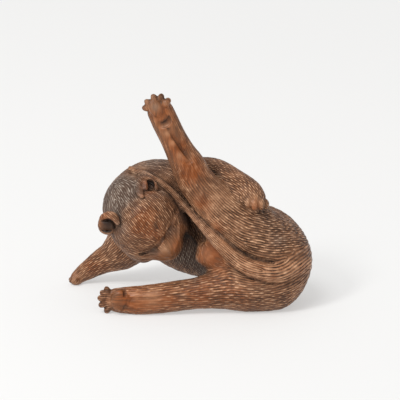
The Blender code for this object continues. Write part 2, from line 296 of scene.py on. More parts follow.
def toes(centre, forward, side, spread, size, angles):
    """Toe beads on an arc round the end of a paw."""
    forward, side = unit(forward), unit(side)
    normal = np.cross(forward, side)
    made = []
    for angle in np.radians(angles):
        way = forward * math.cos(angle) + side * math.sin(angle)
        turn = np.array([way, np.cross(normal, way), normal])
        made.append(Bulb(centre + spread * way, size, turn, placed=True))
    return made


PELVIS = Bulb((70, 53, 30), (51, 42, 48))
TORSO = Limb([
    (64, 66, 46, 44, 0.90),
    (32, 77, 58, 47, 0.72),
    (-4, 87, 66, 46.5, 0.66),
    (-33, 111.5, 64, 43.3, 0.76),
])
FLANK = Limb([
    (22, 84, 28, 22, 0.9),
    (4, 98, 36, 19, 0.9),
    (-12, 117, 46, 19, 0.9),
    (-30, 131, 58, 20, 0.9),
])
NECK = Limb([
    (-46, 109.5, 58, 38.5, 0.85),
    (-55, 106, 44, 35, 0.95),
    (-49, 97, 30, 30, 1.0),
])
RAISED_LEG = Limb([
    (66, 66, 22, 40, 0.80),
    (50, 83, 15, 33, 0.80),
    (30, 104, 12, 23.5, 0.85),
    (13, 122, 12, 19.2, 0.85),
    (3, 135, 12, 17.8, 0.85),
    (-3, 147, 12, 16.8, 0.85),
    (-10.5, 160, 12, 14.6, 0.85),
    (-17.3, 173, 12, 13.2, 0.80),
    (-24.8, 188, 12, 13.2, 0.68),
    (-30.7, 200.5, 12, 13.0, 0.55),
])
LOWER_LEG = Limb([
    (77, 37, 18, 35, 0.85),
    (56, 31, 12, 29.5, 0.85),
    (33, 25, 8, 20.5, 0.90),
    (8, 21.2, 4, 16.2, 0.90),
    (-7, 19.2, 2, 15.6, 0.85),
    (-27, 16.4, 0, 15.4, 0.80),
    (-52, 13.9, -2, 14.8, 0.72),
    (-66, 13.8, -1, 13.8, 0.62),
    (-74, 14, 0, 12.8, 0.55),
])
BRACED_LEG = Limb([
    (-48, 96, 78, 32, 0.8),
    (-64, 71, 84, 24, 0.80),
    (-79, 58, 88, 17, 0.85),
    (-93.5, 50.5, 90, 13, 0.90),
    (-108, 41.5, 90, 9.8, 0.95),
    (-117.5, 35, 88, 7.4, 1.0),
    (-120, 32, 86, 6.4, 1.2),
])
ELBOW = Bulb((-71, 54, 88), (9, 9, 8))
HUGGING_ARM = Limb([
    (-30, 118, 66, 34, 0.8),
    (4, 139, 56, 18, 0.9),
    (23, 140.5, 42, 15.3, 0.9),
    (41.5, 131, 26, 14.3, 0.9),
    (55, 122, 12, 14.0, 0.85),
    (60, 116, 6, 13.0, 0.8),
])
TAIL = Limb([
    (106, 50, 20, 14, 1.0),
    (98, 46.5, 6, 12.0, 1.0),
    (80, 42, -9, 9.8, 1.0),
    (59.4, 46.8, -13, 8.6, 1.0),
    (44.2, 54.8, -11, 7.8, 1.0),
    (32.5, 65.5, -8, 6.7, 1.0),
    (22, 76.5, -3, 6.1, 1.1),
    (10.5, 89.5, 5.5, 5.0, 1.3),
    (-0.5, 101.2, 15, 4.0, 1.5),
    (-9, 110.7, 22.5, 3.5, 1.3),
    (-19, 121.3, 27.5, 3.1, 1.1),
    (-27.7, 128.8, 31, 2.9, 1.1),
    (-39, 136.2, 35, 2.7, 1.1),
    (-47, 140.4, 39, 2.7, 1.1),
    (-55, 143.2, 44.5, 2.9, 1.1),
    (-62, 145.8, 53, 2.5, 1.1),
])
CRANIUM = head_bulb((0, 0, 0), (34, 38, 30))
MUZZLE = head_bulb((25, 0, -3), (22, 20.5, 17))
CHEEKS = [head_bulb((14, -21, -4), (19, 15, 18)), head_bulb((15, 21, -4), (19.5, 15, 18))]
NOSE_BRIDGE = Limb([
    (*on_head(24, -3.7, 15.5), 4.4, 1.0),
    (*on_head(34, -3, 11.5), 4.2, 1.0),
    (*on_head(43.5, -2.6, 4.5), 3.6, 1.0),
], placed=True)
EYE_SOCKETS = [head_bulb((29.5, -15, 13.5), (5, 7.5, 4.6)), head_bulb((28, 13, 17.5), (6, 9, 5))]
BROW_CREASE = Limb([
    (*on_head(12.5, 31.5, 14), 2.2, 1.0),
    (*on_head(15.5, 24.8, 20), 2.6, 1.0),
    (*on_head(18.7, 18.8, 21.5), 2.8, 1.0),
    (*on_head(21.5, 12.3, 22.5), 3.2, 1.0),
    (*on_head(24.4, 4.9, 22), 3.2, 1.0),
    (*on_head(26.0, -2, 20.5), 3.0, 1.0),
    (*on_head(26.3, -9, 18), 3.0, 1.0),
    (*on_head(25, -16.9, 15.5), 2.8, 1.0),
    (*on_head(22.5, -24.5, 11.5), 2.2, 1.0),
], placed=True)

# The upper ear hangs down as a folded leaf: a base, two flaps and a fold between them
UPPER_EAR = [
    Bulb((-45.5, 133, 33), (8.5, 6, 8)),
    Limb([
        (-46, 137, 30, 2.6, 1.0),
        (-51, 132.5, 24, 3.9, 1.0),
        (-53, 126, 18.5, 4.3, 1.0),
        (-51.5, 120.5, 12.5, 3.4, 1.0),
        (-49.3, 117.3, 8.5, 2.0, 1.0),
    ]),
    Limb([
        (-46, 137, 30, 2.4, 1.0),
        (-42, 134.5, 27, 2.8, 1.0),
        (-38, 130, 24, 2.8, 1.0),
        (-35, 125.5, 20, 2.2, 1.0),
    ]),
]
UPPER_EAR_HOLLOW = Bulb((-41.8, 128.5, 22), (4.6, 5.0, 7))
UPPER_EAR_FOLD = Limb([
    (-47, 134, 26, 1.9, 1.0),
    (-46.3, 129.5, 21, 2.4, 1.0),
    (-45.5, 125.5, 17.5, 2.2, 1.0),
])
# The lower ear is a shallow cup with a thick rim round its upper side
LOWER_EAR = Bulb((-84, 88.5, 13), (9.6, 10.6, 9))
LOWER_EAR_HOLLOW = Bulb((-85, 85.8, 2.5), (8.2, 8.0, 5))
LOWER_EAR_RIM = Limb([
    (-91.5, 92, 9, 1.8, 1.0),
    (-88, 97.3, 6, 3.0, 1.2),
    (-82, 99.3, 4, 3.6, 1.4),
    (-76.8, 97, 2.5, 3.8, 1.2),
    (-73.6, 91.5, 1.0, 2.7, 1.0),
])
EAR_HOLLOWS = [UPPER_EAR_HOLLOW, LOWER_EAR_HOLLOW]

# The way the raised leg runs, pads, toes and the groove beside the tendon
LEG_RUN = unit((-0.46, 0, 0.887))
LEG_TURN = np.array([LEG_RUN, (0, 1, 0), np.cross(LEG_RUN, (0, 1, 0))])
PADS = [
    Bulb((-35.5, 203.5, 5.5), (10, 4.5, 6.6), LEG_TURN),
    Bulb((-26, 208.5, 6.5), (4.2, 3.5, 3.8), LEG_TURN),
    Bulb((-74.5, 13.5, -7), (6.5, 4.5, 10)),
    Bulb((-71.5, 20, -7), (4.5, 3.5, 4.2)),
    Bulb((-68.5, 13, -7), (4.5, 3.7, 4.5)),
    Bulb((-70, 6, -7), (4.5, 3.5, 4.2)),
]
LOWER_TOES = toes(place(-79, 14, 0), (-1, 0, 0), (0, 0, 1), 10.9, (5.0, 3.3, 4.4),
                  (-61, -24, 9, 36, 61))
RAISED_TOES = toes(place(-33, 203.5, 10), LEG_RUN, (0.887, 0, 0.46), 11.2,
                   (4.6, 3.3, 4.4), (-59, -30, 7, 41, 78))
TENDON_GROOVE = Limb([
    (-21, 181, 0.5, 1.8, 1.0),
    (-14, 171, 0.5, 2.8, 1.0),
    (-8, 162, 0.5, 2.8, 1.0),
    (-3, 155.5, 0.0, 1.8, 1.0),
])
ARM_TOE_TURN = np.array([[1, 0, 0], [0, 0.94, -0.34], [0, 0.34, 0.94]])
ARM_TOES = [
    Bulb((across, up, depth), (3.5, 4.2, length), ARM_TOE_TURN)
    for across, up, depth, length in [
        (50, 115.0, -1, 4.0),
        (54.8, 111.5, -3, 5.5),
        (61.6, 109.8, -3.5, 6.0),
        (68.4, 109.8, -1, 6.0),
        (73.0, 110.0, 4, 5.0),
    ]
]
BRACED_TOES = toes(place(-119, 32, 85), (-0.8, -0.6, -0.1), (0.6, -0.8, 0), 5.5,
                   (3.6, 2.2, 2.6), (-45, -12, 20, 50))
GROIN_BUMP = Bulb((18, 57, 15), (14, 9, 9))
RECESS = Limb([
    (-12, 108, 24, 3, 1.0),
    (-4, 96, 20, 5, 1.5),
    (2, 85, 18, 8, 1.8),
    (7, 75, 18, 8, 1.8),
])
TAIL_BED = Limb([(*row[:3], row[3] + BED_MARGIN, row[4])
                 for row in TAIL.line[2 * LIMB_STEPS :: LIMB_STEPS]], placed=True)
HAUNCH = Bulb((76, 58, 52), (37, 26, 34))
SHOULDER = Bulb((-36, 104, 84), (25, 17, 30))


def figure(p):
    """Signed distance to the carving and its direction, in squares."""
    found = PELVIS(p)
    found = merge(found, TORSO(p), BODY_BLEND)
    for form in (HAUNCH, SHOULDER):
        found = merge(found, form(p), LIMB_BLEND)
    found = merge(found, FLANK(p), LIMB_BLEND)
    found = merge(found, RAISED_LEG(p), JOIN_BLEND)
    found = merge(found, LOWER_LEG(p), LIMB_BLEND)
    found = merge(found, NECK(p), BODY_BLEND)
    found = merge(found, BRACED_LEG(p), LIMB_BLEND)
    found = merge(found, ELBOW(p), LIMB_BLEND)
    found = carve(found, RECESS(p), JOIN_BLEND)
    found = merge(found, GROIN_BUMP(p), BODY_BLEND)
    found = carve(found, TENDON_GROOVE(p), JOIN_BLEND)
    head = CRANIUM(p)
    for form in [*CHEEKS, MUZZLE]:
        head = merge(head, form(p), JOIN_BLEND)
    for form in EYE_SOCKETS:
        head = carve(head, form(p), JOIN_BLEND)
    head = merge(head, NOSE_BRIDGE(p), JOIN_BLEND)
    head = carve(head, BROW_CREASE(p), CREASE_BLEND)
    for form in [LOWER_EAR, *UPPER_EAR]:
        head = merge(head, form(p), CREASE_BLEND)
    for form in EAR_HOLLOWS:
        head = carve(head, form(p), CREASE_BLEND)
    for form in (UPPER_EAR_FOLD, LOWER_EAR_RIM):
        head = merge(head, form(p), CREASE_BLEND)
    found = merge(found, head, JOIN_BLEND)
    found = merge(found, HUGGING_ARM(p), JOIN_BLEND)
    found = merge(carve(found, TAIL_BED(p), JOIN_BLEND), TAIL(p), CREASE_BLEND)
    for form in PADS:
        found = merge(found, form(p), CREASE_BLEND)
    for form in LOWER_TOES + RAISED_TOES + ARM_TOES + BRACED_TOES:
        found = merge(found, form(p), TOE_BLEND)
    return found


# Fine cuts as the viewer sees them. Each is a line of (across, up, radius) on the surface.
CUTS = [
    # The gouge above the heel pad of the raised leg
    [(-32.5, 189.8, 1.0), (-29.5, 187.6, 2.4), (-25.5, 188.4, 3.0), (-22.5, 192, 2.5),
     (-21.7, 196, 1.0)],
    # The groove beside the tendon, and the hock
    [(-23, 184, 0.8), (-17, 174, 1.3), (-11, 165, 1.4), (-5, 157.5, 1.2), (-1, 153, 0.8)],
    [(-9, 152.5, 0.7), (-4, 150, 1.0), (2, 153, 0.7)],
    # Folds of the upper ear
    [(-49, 135, 0.8), (-52.5, 130, 1.1), (-52.7, 124, 1.1), (-51, 119.5, 0.7)],
    [(-47.5, 134, 0.7), (-49.6, 129, 1.0), (-50, 124, 1.0), (-49.6, 120, 0.7)],
    # The step below the brow, from the cheek to under the dome
    [(-14.5, 101.5, 0.7), (-18, 97, 1.0), (-19.5, 91, 1.2), (-23, 85, 1.3), (-26.7, 78, 1.3),
     (-30.3, 74, 1.2), (-32.5, 70, 1.2), (-38, 65.5, 1.1), (-42.6, 63, 1.0), (-49, 60.5, 0.8)],
    # Mouth and nostril
    [(-37, 56.5, 0.8), (-30, 54.8, 1.2), (-22, 55.5, 1.2), (-16.5, 59.5, 0.8)],
    [(-19.5, 61.5, 0.9), (-17.5, 59.5, 0.9)],
    # The long hollow above the heel of the lower foot
    [(-62, 15.5, 0.7), (-50, 15.8, 1.0), (-38, 15.5, 1.0), (-30, 17, 0.7)],
    # Right edge of the lower pad
    [(-68, 24.5, 1.2), (-66.5, 19.5, 1.9), (-63.8, 16, 1.7), (-64, 11, 1.8), (-66.5, 6.5, 1.9),
     (-69, 3, 1.2)],
]

# Fine ridges, drawn in the same way
RIDGES = [
    [(-27, 187, 1.0), (-21, 176, 1.8), (-15, 166, 1.9), (-9, 157, 1.6), (-5, 152, 1.0)],
    [(-62, 18.5, 1.0), (-49, 18.2, 1.6), (-36, 18, 1.5), (-26, 20, 0.9)],
    [(-33.5, 185.2, 0.7), (-28.5, 183.4, 1.2), (-23, 185, 1.3), (-19, 190.5, 0.7)],
    [(-31, 72, 1.2), (-26, 66, 1.8), (-21, 61, 1.2)],
    [(-14, 96, 0.8), (-12.8, 84, 1.4), (-13.5, 75, 1.4), (-17, 66, 0.8)],
]


def laid_on(surface, lines, sunk=0.0):
    """Each line as a form on the front of the surface, sunk by a share of its radius."""
    made = []
    for line in lines:
        depth = np.full(len(line), -FAR)
        for _ in range(LAY_ROUNDS):
            spots = np.array([place(a, u, d) for (a, u, r), d in zip(line, depth)])
            depth += LAY_SHARE * np.clip(surface(spots)[0], 0, LAY_STEP)
        made.append(Limb([(a, u, d + sunk * r, r, 1.0) for (a, u, r), d in zip(line, depth)]))
    return made


# The flat inside the lower ear
LOWER_EAR_FLAT = Bulb((-84.3, 88.6, 7.3), (9.4, 10.2, 4.6))
FINE_CUTS = laid_on(figure, CUTS)
FINE_RIDGES = laid_on(figure, RIDGES, RIDGE_SUNK)


def fine_figure(p):
    """The figure with its fine cuts and ridges."""
    found = merge(figure(p), LOWER_EAR_FLAT(p), FINE_BLEND)
    for form in FINE_RIDGES:
        found = merge(found, form(p), RIDGE_BLEND)
    for form in FINE_CUTS:
        found = carve(found, form(p), FINE_BLEND)
    return found


# How the hair is combed. A comb is a spot, the way that the hair runs there, the gap
# between its strokes, a stroke's length and how deep they are cut, in squares.
def combs_along(limb, gap, length, depth, flip=False, ends=(0.0, 1.0), share=0.0):
    """Combs down the middle of a limb, whose gap is at least this share of its radius."""
    line = limb.line
    first, last = (int(round(end * (len(line) - 1))) for end in ends)
    made = []
    for i in range(first, last):
        way = unit(line[i + 1, :3] - line[i, :3])
        middle = (line[i] + line[i + 1]) / 2
        spaced = max(gap, share * middle[3])
        made.append((middle[:3], -way if flip else way, middle[3], spaced, length, depth))
    return made


def comb(across, up, depth, way, gap, length, cut):
    """A comb at a spot of the surface. Its way is (across, up, depth)."""
    return (place(across, up, depth), unit(place(*way)), 0.0, gap, length, cut)


# Combs that belong to one form, and how strongly they rule on its surface
LIMB_COMBS = [
    (RAISED_LEG, 1.0, combs_along(RAISED_LEG, 2.2, 26, 0.22, flip=True, ends=(0.30, 1.0))),
    (LOWER_LEG, 1.0, combs_along(LOWER_LEG, 2.3, 14, 0.32, flip=True, ends=(0.25, 1.0))),
    (BRACED_LEG, 1.0, combs_along(BRACED_LEG, 2.2, 12, 0.34, flip=True, ends=(0.2, 1.0))),
    (HUGGING_ARM, 1.0, combs_along(HUGGING_ARM, 2.0, 7, 0.34, ends=(0.25, 1.0))),
    (TAIL, 400.0, combs_along(TAIL, 1.6, 30, 0.42, flip=True, share=0.30)),
]
BODY_COMBS = [
    # Thigh, from the tail's edge up to the arm
    comb(12, 112, -4, (1, -1.05, 0), 2.2, 14, 0.36),
    comb(24, 98, -4, (1, -1.0, 0), 2.2, 14, 0.38),
    comb(36, 108, -2, (1, -0.6, 0), 2.2, 14, 0.40),
    comb(38, 84, -6, (1, -0.8, 0), 2.2, 14, 0.40),
    comb(50, 96, -3, (1, -0.4, 0), 2.2, 14, 0.42),
    comb(44, 66, -3, (1, -0.8, 0), 2.2, 14, 0.40),
    # Hip, to the rump
    comb(60, 78, -8, (1, -0.12, 0), 2.4, 10, 0.46),
    comb(66, 60, -8, (1, -0.15, 0), 2.4, 10, 0.46),
    comb(66, 100, 0, (1, -0.15, 0), 2.4, 10, 0.44),
    comb(84, 86, -2, (1, -0.05, 0.2), 2.4, 10, 0.48),
    comb(88, 66, -4, (1, 0.0, 0.2), 2.4, 10, 0.48),
    comb(104, 80, 12, (1, -0.1, 1), 2.4, 10, 0.46),
    comb(110, 58, 12, (1, 0.1, 1), 2.4, 10, 0.46),
    comb(118, 68, 30, (0.3, 0, 1), 2.4, 10, 0.44),
    comb(100, 30, 10, (1, 0.4, 0.6), 2.7, 9, 0.40),
    # Under the tail, along the lower thigh
    comb(66, 22, -12, (1, 0.1, 0), 2.4, 10, 0.36),
    comb(40, 34, -6, (1, 0.15, 0), 2.2, 10, 0.34),
    comb(90, 26, -4, (1, 0.3, 0.3), 2.6, 9, 0.38),
    # Head, from the nape to the brow
    comb(-72, 120, 26, (1, -1.1, -0.3), 1.9, 12, 0.38),
    comb(-60, 110, 8, (1, -1.15, -0.3), 1.9, 12, 0.40),
    comb(-50, 112, 4, (1, -1.15, -0.2), 1.9, 12, 0.38),
    comb(-36, 108, 4, (1, -1.5, -0.1), 1.9, 12, 0.32),
    comb(-26, 100, 5, (1, -1.9, 0.2), 1.9, 12, 0.30),
    comb(-46, 92, -4, (1, -1.1, 0), 1.9, 12, 0.28),
    comb(-62, 92, -1, (1, -1.0, -0.1), 1.9, 12, 0.34),
    comb(-72, 82, 3, (1, -0.8, 0), 1.9, 12, 0.34),
    comb(-62, 72, -3, (1, -0.45, 0), 1.9, 12, 0.32),
    comb(-48, 70, -6, (1, -0.45, 0), 1.9, 12, 0.30),
    comb(-56, 60, 2, (1, -0.12, 0), 1.9, 12, 0.30),
    comb(-36, 80, -5, (1, -0.9, 0), 1.9, 12, 0.26),
    # Nape and neck
    comb(-84, 110, 46, (0.8, -1.2, -0.4), 2.0, 11, 0.38),
    comb(-78, 132, 48, (1, -0.9, -0.4), 2.0, 11, 0.38),
    comb(-58, 142, 50, (1, -0.8, -0.2), 2.0, 11, 0.36),
    comb(-38, 148, 56, (1, -0.8, 0), 2.0, 11, 0.36),
    comb(-20, 142, 52, (1, -1.0, 0), 2.0, 11, 0.38),
    # Belly and chest in the shade of the head
    comb(-4, 66, 24, (0.3, -1, 0), 2.0, 7, 0.30),
    comb(-10, 50, 32, (0.2, -1, 0.2), 2.0, 7, 0.30),
    comb(2, 42, 30, (0.3, -1, 0.2), 2.0, 7, 0.30),
    # Back, from the nape to the rump
    comb(-60, 110, 96, (1, 0.1, 0.1), 2.4, 9, 0.34),
    comb(-30, 124, 102, (1, -0.1, 0), 2.5, 9, 0.36),
    comb(-30, 84, 104, (1, -0.3, 0), 2.5, 9, 0.36),
    comb(6, 118, 98, (1, -0.3, 0), 2.7, 9, 0.38),
    comb(10, 84, 104, (1, -0.2, 0), 2.7, 9, 0.38),
    comb(46, 98, 98, (1, -0.4, 0), 2.8, 9, 0.40),
    comb(50, 66, 100, (1, -0.3, 0), 2.8, 9, 0.42),
    comb(84, 84, 84, (1, -0.5, -0.4), 2.9, 9, 0.42),
    comb(90, 56, 84, (1, -0.3, -0.5), 2.9, 9, 0.42),
    comb(0, 52, 84, (1, -0.3, 0), 2.5, 8, 0.34),
    comb(60, 30, 86, (1, -0.3, 0), 2.7, 8, 0.36),
]

# Places where the carver left the wood smooth: a spot, its radius and how smooth it is
SMOOTH = [
    (-32, 200, 0, 15, 1.0),
    (-25, 182, 0, 14, 1.0),
    (-17, 168, -2, 13, 1.0),
    (-8, 154, -2, 12, 0.8),
    (1, 140, -3, 12, 0.5),
    (-74, 14, -10, 14, 1.0),
    (-56, 12, -10, 13, 0.9),
    (-40, 12, -12, 13, 0.8),
    (-24, 12, -12, 12, 0.5),
    (16, 58, 2, 17, 0.95),
    (26, 50, 0, 12, 0.5),
    (-26, 58, 0, 13, 1.0),
    (-17, 70, 6, 12, 0.9),
    (-36, 58, 2, 9, 0.8),
    (-12, 84, 12, 9, 0.8),
    (-18.5, 93, 6, 4.5, 0.8),
    (-22, 86, 5, 4.5, 0.8),
    (-26, 79, 3, 4.5, 0.8),
    (-31, 72, 1, 4.5, 0.8),
    (-38, 65, 1, 4.5, 0.7),
    (-83, 90, 6, 13, 1.0),
    (-44, 129, 14, 12, 1.0),
    (-50, 120, 12, 6, 1.0),
    (62, 109, -6, 10, 0.8),
    (-120, 32, 84, 9, 0.8),
    (4, 108, -4, 7, 0.7),
    (12, 98, -5, 6, 0.7),
    (22, 86, -7, 6, 0.7),
    (32, 74, -8, 6, 0.7),
]

# Warm, rubbed places: a spot, its radius and how much the colour shows
RUBBED = [
    (-30, 196, 0, 22, 0.6),
    (-14, 165, 0, 18, 0.8),
    (-2, 140, -3, 17, 0.9),
    (10, 112, -4, 13, 0.9),
    (24, 88, -6, 12, 0.9),
    (-47, 99, -4, 14, 0.95),
    (-54, 86, -4, 10, 0.7),
    (-36, 78, -4, 16, 0.45),
    (16, 58, 2, 20, 1.0),
    (60, 44, -20, 16, 0.6),
    (-60, 12, -10, 24, 0.9),
    (-26, 14, -12, 22, 0.8),
    (6, 20, -8, 22, 0.6),
    (40, 24, -10, 22, 0.5),
    (-83, 98, 4, 9, 0.9),
    (-44, 128, 14, 11, 0.7),
    (62, 108, -8, 11, 0.9),
    (-14, 66, 4, 12, 0.7),
    (-100, 46, 82, 18, 0.5),
]

# How warm and polished the whole tail is, with a painted highlight all along it, and how that fades
# off its sides
TAIL_SHEEN = 0.7
SHEEN_EDGE = 1.4
SHEEN_FALL = 2

# Polished places, painted pale as highlights where they catch the light
POLISH_AND_HIGHLIGHT = [
    (72, 45, -18, 13, 0.9),
    (56, 50, -22, 13, 0.9),
    (42, 60, -20, 12, 1.0),
    (30, 72, -14, 10, 0.9),
    (16, 88, -2, 10, 0.8),
    (-2, 155, -2, 5, 0.9),
    (-35, 205, 0, 7, 0.6),
    (-26, 209, 0, 5, 0.6),
    (14, 58, 2, 9, 0.5),
    (-40, 19, -13, 14, 0.5),
    (-26, 67, 0, 7, 1.0),
    (-28.5, 186.5, 4.5, 2.6, 0.9),
    (-24, 187.5, 5, 2.6, 0.9),
    (-55, 18, -11, 5, 0.6),
    (-45, 18, -12, 5, 0.6),
    (-35, 18, -12, 5, 0.6),
    (54.8, 112.5, -7, 3, 0.8),
    (61.6, 111, -7.7, 3, 0.8),
    (68.4, 111, -5.2, 3, 0.8),
    (70, 80, -8, 24, 0.35),
    (-24, 179, 2, 3.5, 0.8),
    (-19, 170, 1, 3.5, 0.8),
    (-12, 158, -0.5, 4, 0.7),
    (34, 112, -4, 22, 0.5),
    (24, 92, -6, 12, 0.3),
    (54, 34, -12, 18, 0.4),
    (-80, 99, 2, 8, 0.5),
    (56, 112, -8, 8, 0.5),
    (70, 112, -6, 8, 0.5),
]

# Dark spots in hollows and creases, as stain held there and as painted shade where they fall in
# shadow: a spot, its radius and how dark it is
STAIN_AND_SHADE = [
    (-84.5, 87, 4, 8.5, 0.6),
    (-29, 190, 4.5, 3.2, 0.8),
    (-25.5, 191.5, 5, 3.2, 0.85),
    (-22.5, 195, 5, 2.4, 0.7),
    (-65, 18, -6, 2.4, 0.5),
    (-64, 11, -6, 2.4, 0.5),
    (-40, 213, 8, 8, 0.45),
    (-28, 217, 8, 8, 0.45),
    (9, 117, -5, 10, 0.45),
    (29, 85, -5, 7, 0.35),
    (36, 77, -6, 7, 0.35),
    (44, 69, -6, 7, 0.4),
    (52, 62, -7, 7, 0.4),
    (62, 57, -8, 7, 0.4),
    (74, 55, -8, 7, 0.35),
    (-80, 24, -4, 6, 0.4),
    (-81, 4, -4, 6, 0.4),
    (-18.5, 93, 6, 3.2, 0.4),
    (-22, 86, 6, 3.2, 0.4),
    (-26, 79, 4, 3.2, 0.4),
    (-31, 72, 2, 3.2, 0.4),
    (-37, 66, 1, 3.2, 0.4),
    (-42, 128, 26, 6.5, 0.9),
    (-22, 103, 24, 10, 0.4),
    (0, 84, 28, 16, 0.45),
    (8, 74, 30, 14, 0.45),
    (-78, 14, -2, 4, 0.4),
]

# Greyer wood, where the hair keeps dust and little handling reaches, and where a grey sheen of the
# pale surroundings is painted on
DUST_AND_SHEEN = [
    (-76, 128, 34, 26, 1.0),
    (-84, 108, 34, 22, 0.9),
    (-62, 120, 18, 22, 0.9),
    (-36, 148, 54, 22, 0.8),
    (-70, 82, 4, 18, 0.5),
    (-56, 56, 8, 16, 0.4),
    (-28, 122, 20, 12, 0.4),
    (-4, 56, 34, 26, 0.9),
    (10, 40, 30, 20, 0.7),
    (34, 140, 40, 22, 0.5),
    (56, 84, -4, 26, 0.25),
    (90, 80, 6, 30, 0.35),
    (-19, 82, 6, 9, 0.5),
    (-36, 204, 0, 8, 0.6),
    (-26, 209, 0, 5, 0.8),
    (-40, 62, 2, 9, 0.6),
    (0, 28, 0, 14, 0.4),
    (0, 100, 100, 70, 0.4),
]


def gather(p, spots, edge):
    """The spots run together at each point. A higher edge makes flatter spots."""
    left = np.ones(len(p))
    for across, up, depth, radius, amount in spots:
        away = np.linalg.norm(p - place(across, up, depth), axis=1) / radius
        left *= 1 - amount * np.exp(-SPOT_FADE * away**edge)
    return 1 - left


def comb_hair(p, normal):
    """The hair's way, gap, length and depth at each point."""
    way = np.zeros_like(p)
    sizes = np.zeros((len(p), 3))
    total = np.zeros(len(p))
    for form, rule, combs in [*LIMB_COMBS, (None, 1.0, BODY_COMBS)]:
        on_form = rule * np.exp(-((form(p)[0] / COMB_REACH) ** 2)) if form else np.ones(len(p))
        for spot, run, thick, gap, length, depth in combs:
            away = np.maximum(np.linalg.norm(p - spot, axis=1) - thick, 0)
            weight = on_form / (away**2 + COMB_REACH**2) ** 2
            way += weight[:, None] * run
            sizes += weight[:, None] * np.array([gap, length, depth])
            total += weight
    way -= (way * normal).sum(1)[:, None] * normal
    way /= np.linalg.norm(way, axis=1)[:, None] + 1e-12
    return way, sizes / total[:, None]


def spread_phase(gradient, p, here, there, count, rounds):
    """An angle at each vertex that turns along the edges as the gradient asks."""
    turn = ((gradient[here] + gradient[there]) / 2 * (p[there] - p[here])).sum(1)
    step_cos, step_sin = np.cos(turn), np.sin(turn)
    real = np.zeros(count)
    imag = np.zeros(count)
    real[0] = 1.0
    for _ in range(rounds):
        a, b = real[here], imag[here]
        real = np.bincount(there, a * step_cos - b * step_sin, count) + PHASE_KEPT * real
        imag = np.bincount(there, a * step_sin + b * step_cos, count) + PHASE_KEPT * imag
        size = np.sqrt(real**2 + imag**2)
        size[size < 1e-9] = 1.0
        real /= size
        imag /= size
    return np.arctan2(imag, real)


def wobble(p, scale, seed):
    """Soft noise at each point, about -1 to 1."""
    shifted = p / scale + seed
    return np.array([noise.noise(Vector(row)) for row in shifted])


def stray(p, kinds):
    """Several soft noises at each point, added up."""
    return sum(amount * wobble(p, scale, seed) for amount, scale, seed in kinds)


def edges_both_ways(mesh):
    ends = np.zeros(len(mesh.edges) * 2, np.int64)
    mesh.edges.foreach_get("vertices", ends)
    ends = ends.reshape(-1, 2)
    return np.concatenate([ends[:, 0], ends[:, 1]]), np.concatenate([ends[:, 1], ends[:, 0]])


def vertices_of(mesh):
    """The mesh's vertices in squares of the drawing."""
    spots = np.zeros(len(mesh.vertices) * 3)
    mesh.vertices.foreach_get("co", spots)
    return spots.reshape(-1, 3) / SQUARE + ORIGIN


def move_vertices(mesh, p):
    mesh.vertices.foreach_set("co", ((p - ORIGIN) * SQUARE).ravel())
    mesh.update()


def fine_copy(solid, voxel):
    """A closed mesh of even faces in the solid's shape."""
    bm = bmesh.new()
    bm.from_mesh(solid.data)
    bmesh.ops.remove_doubles(bm, verts=bm.verts[:], dist=SQUARE * 1e-3)
    mesh = bpy.data.meshes.new("fine_copy")
    bm.to_mesh(mesh)
    bm.free()
    helper = bpy.data.objects.new("fine_copy", mesh)
    bpy.context.scene.collection.objects.link(helper)
    remesh = helper.modifiers.new("even_faces", "REMESH")
    remesh.mode = "VOXEL"
    remesh.voxel_size = voxel
    graph = bpy.context.evaluated_depsgraph_get()
    even = bpy.data.meshes.new_from_object(helper.evaluated_get(graph))
    bpy.data.objects.remove(helper)
    bpy.data.meshes.remove(mesh)
    even.name = "carved_cat"
    return even


def fit_to_figure(mesh):
    """Moves the vertices onto the drawn figure, evens them out and returns them."""
    p = vertices_of(mesh)
    count = len(p)
    here, there = edges_both_ways(mesh)
    valence = np.bincount(here, minlength=count)[:, None]
    for turn in range(FIT_ROUNDS):
        value, slope = fine_figure(p)
        steep = (slope**2).sum(1) + 1e-6
        step = np.clip(value / steep, -LONGEST_STEP, LONGEST_STEP)
        p = p - step[:, None] * slope
        normal = slope / np.sqrt(steep)[:, None]
        if turn < FIT_ROUNDS - SETTLE_ROUNDS:
            sums = [np.bincount(here, p[there, i], count) for i in range(3)]
            slide = np.stack(sums, 1) / valence - p
            slide -= (slide * normal).sum(1)[:, None] * normal
            p = p + SLIDE_SHARE * slide
    p[:, 2] = np.maximum(p[:, 2], GROUND_SHAVE)
    return p, normal, here, there


def shut_in(p, normal):
    """How much the carving around each point keeps the light off it, 0 to 1."""
    found = np.zeros(len(p))
    for reach, share in SHADE_REACHES:
        value = fine_figure(p + reach * normal)[0]
        found += share * np.clip((reach - value) / reach, 0, DEEPEST_SHADE)
    return np.clip(found, 0, 1)


def add_hair_map(mesh, p, across, along, gradients):
    """A UV map that counts strokes across and along the hair, whole within each face."""
    corners = np.zeros(len(mesh.loops), np.int64)
    mesh.loops.foreach_get("vertex_index", corners)
    starts = np.zeros(len(mesh.polygons), np.int64)
    sizes = np.zeros(len(mesh.polygons), np.int64)
    mesh.polygons.foreach_get("loop_start", starts)
    mesh.polygons.foreach_get("loop_total", sizes)
    first = corners[np.repeat(starts, sizes)]
    found = []
    for phase, gradient in zip((across, along), gradients):
        expected = ((gradient[first] + gradient[corners]) / 2 * (p[corners] - p[first])).sum(1)
        rest = phase[corners] - phase[first] - expected
        rest -= 2 * math.pi * np.round(rest / (2 * math.pi))
        found.append((phase[first] + expected + rest) / (2 * math.pi))
    layer = mesh.uv_layers.new(name="hair")
    layer.data.foreach_set("uv", np.stack(found, 1).astype(np.float32).ravel())


def add_number(mesh, name, values):
    layer = mesh.attributes.new(name, "FLOAT", "POINT")
    layer.data.foreach_set("value", values.astype(np.float32))


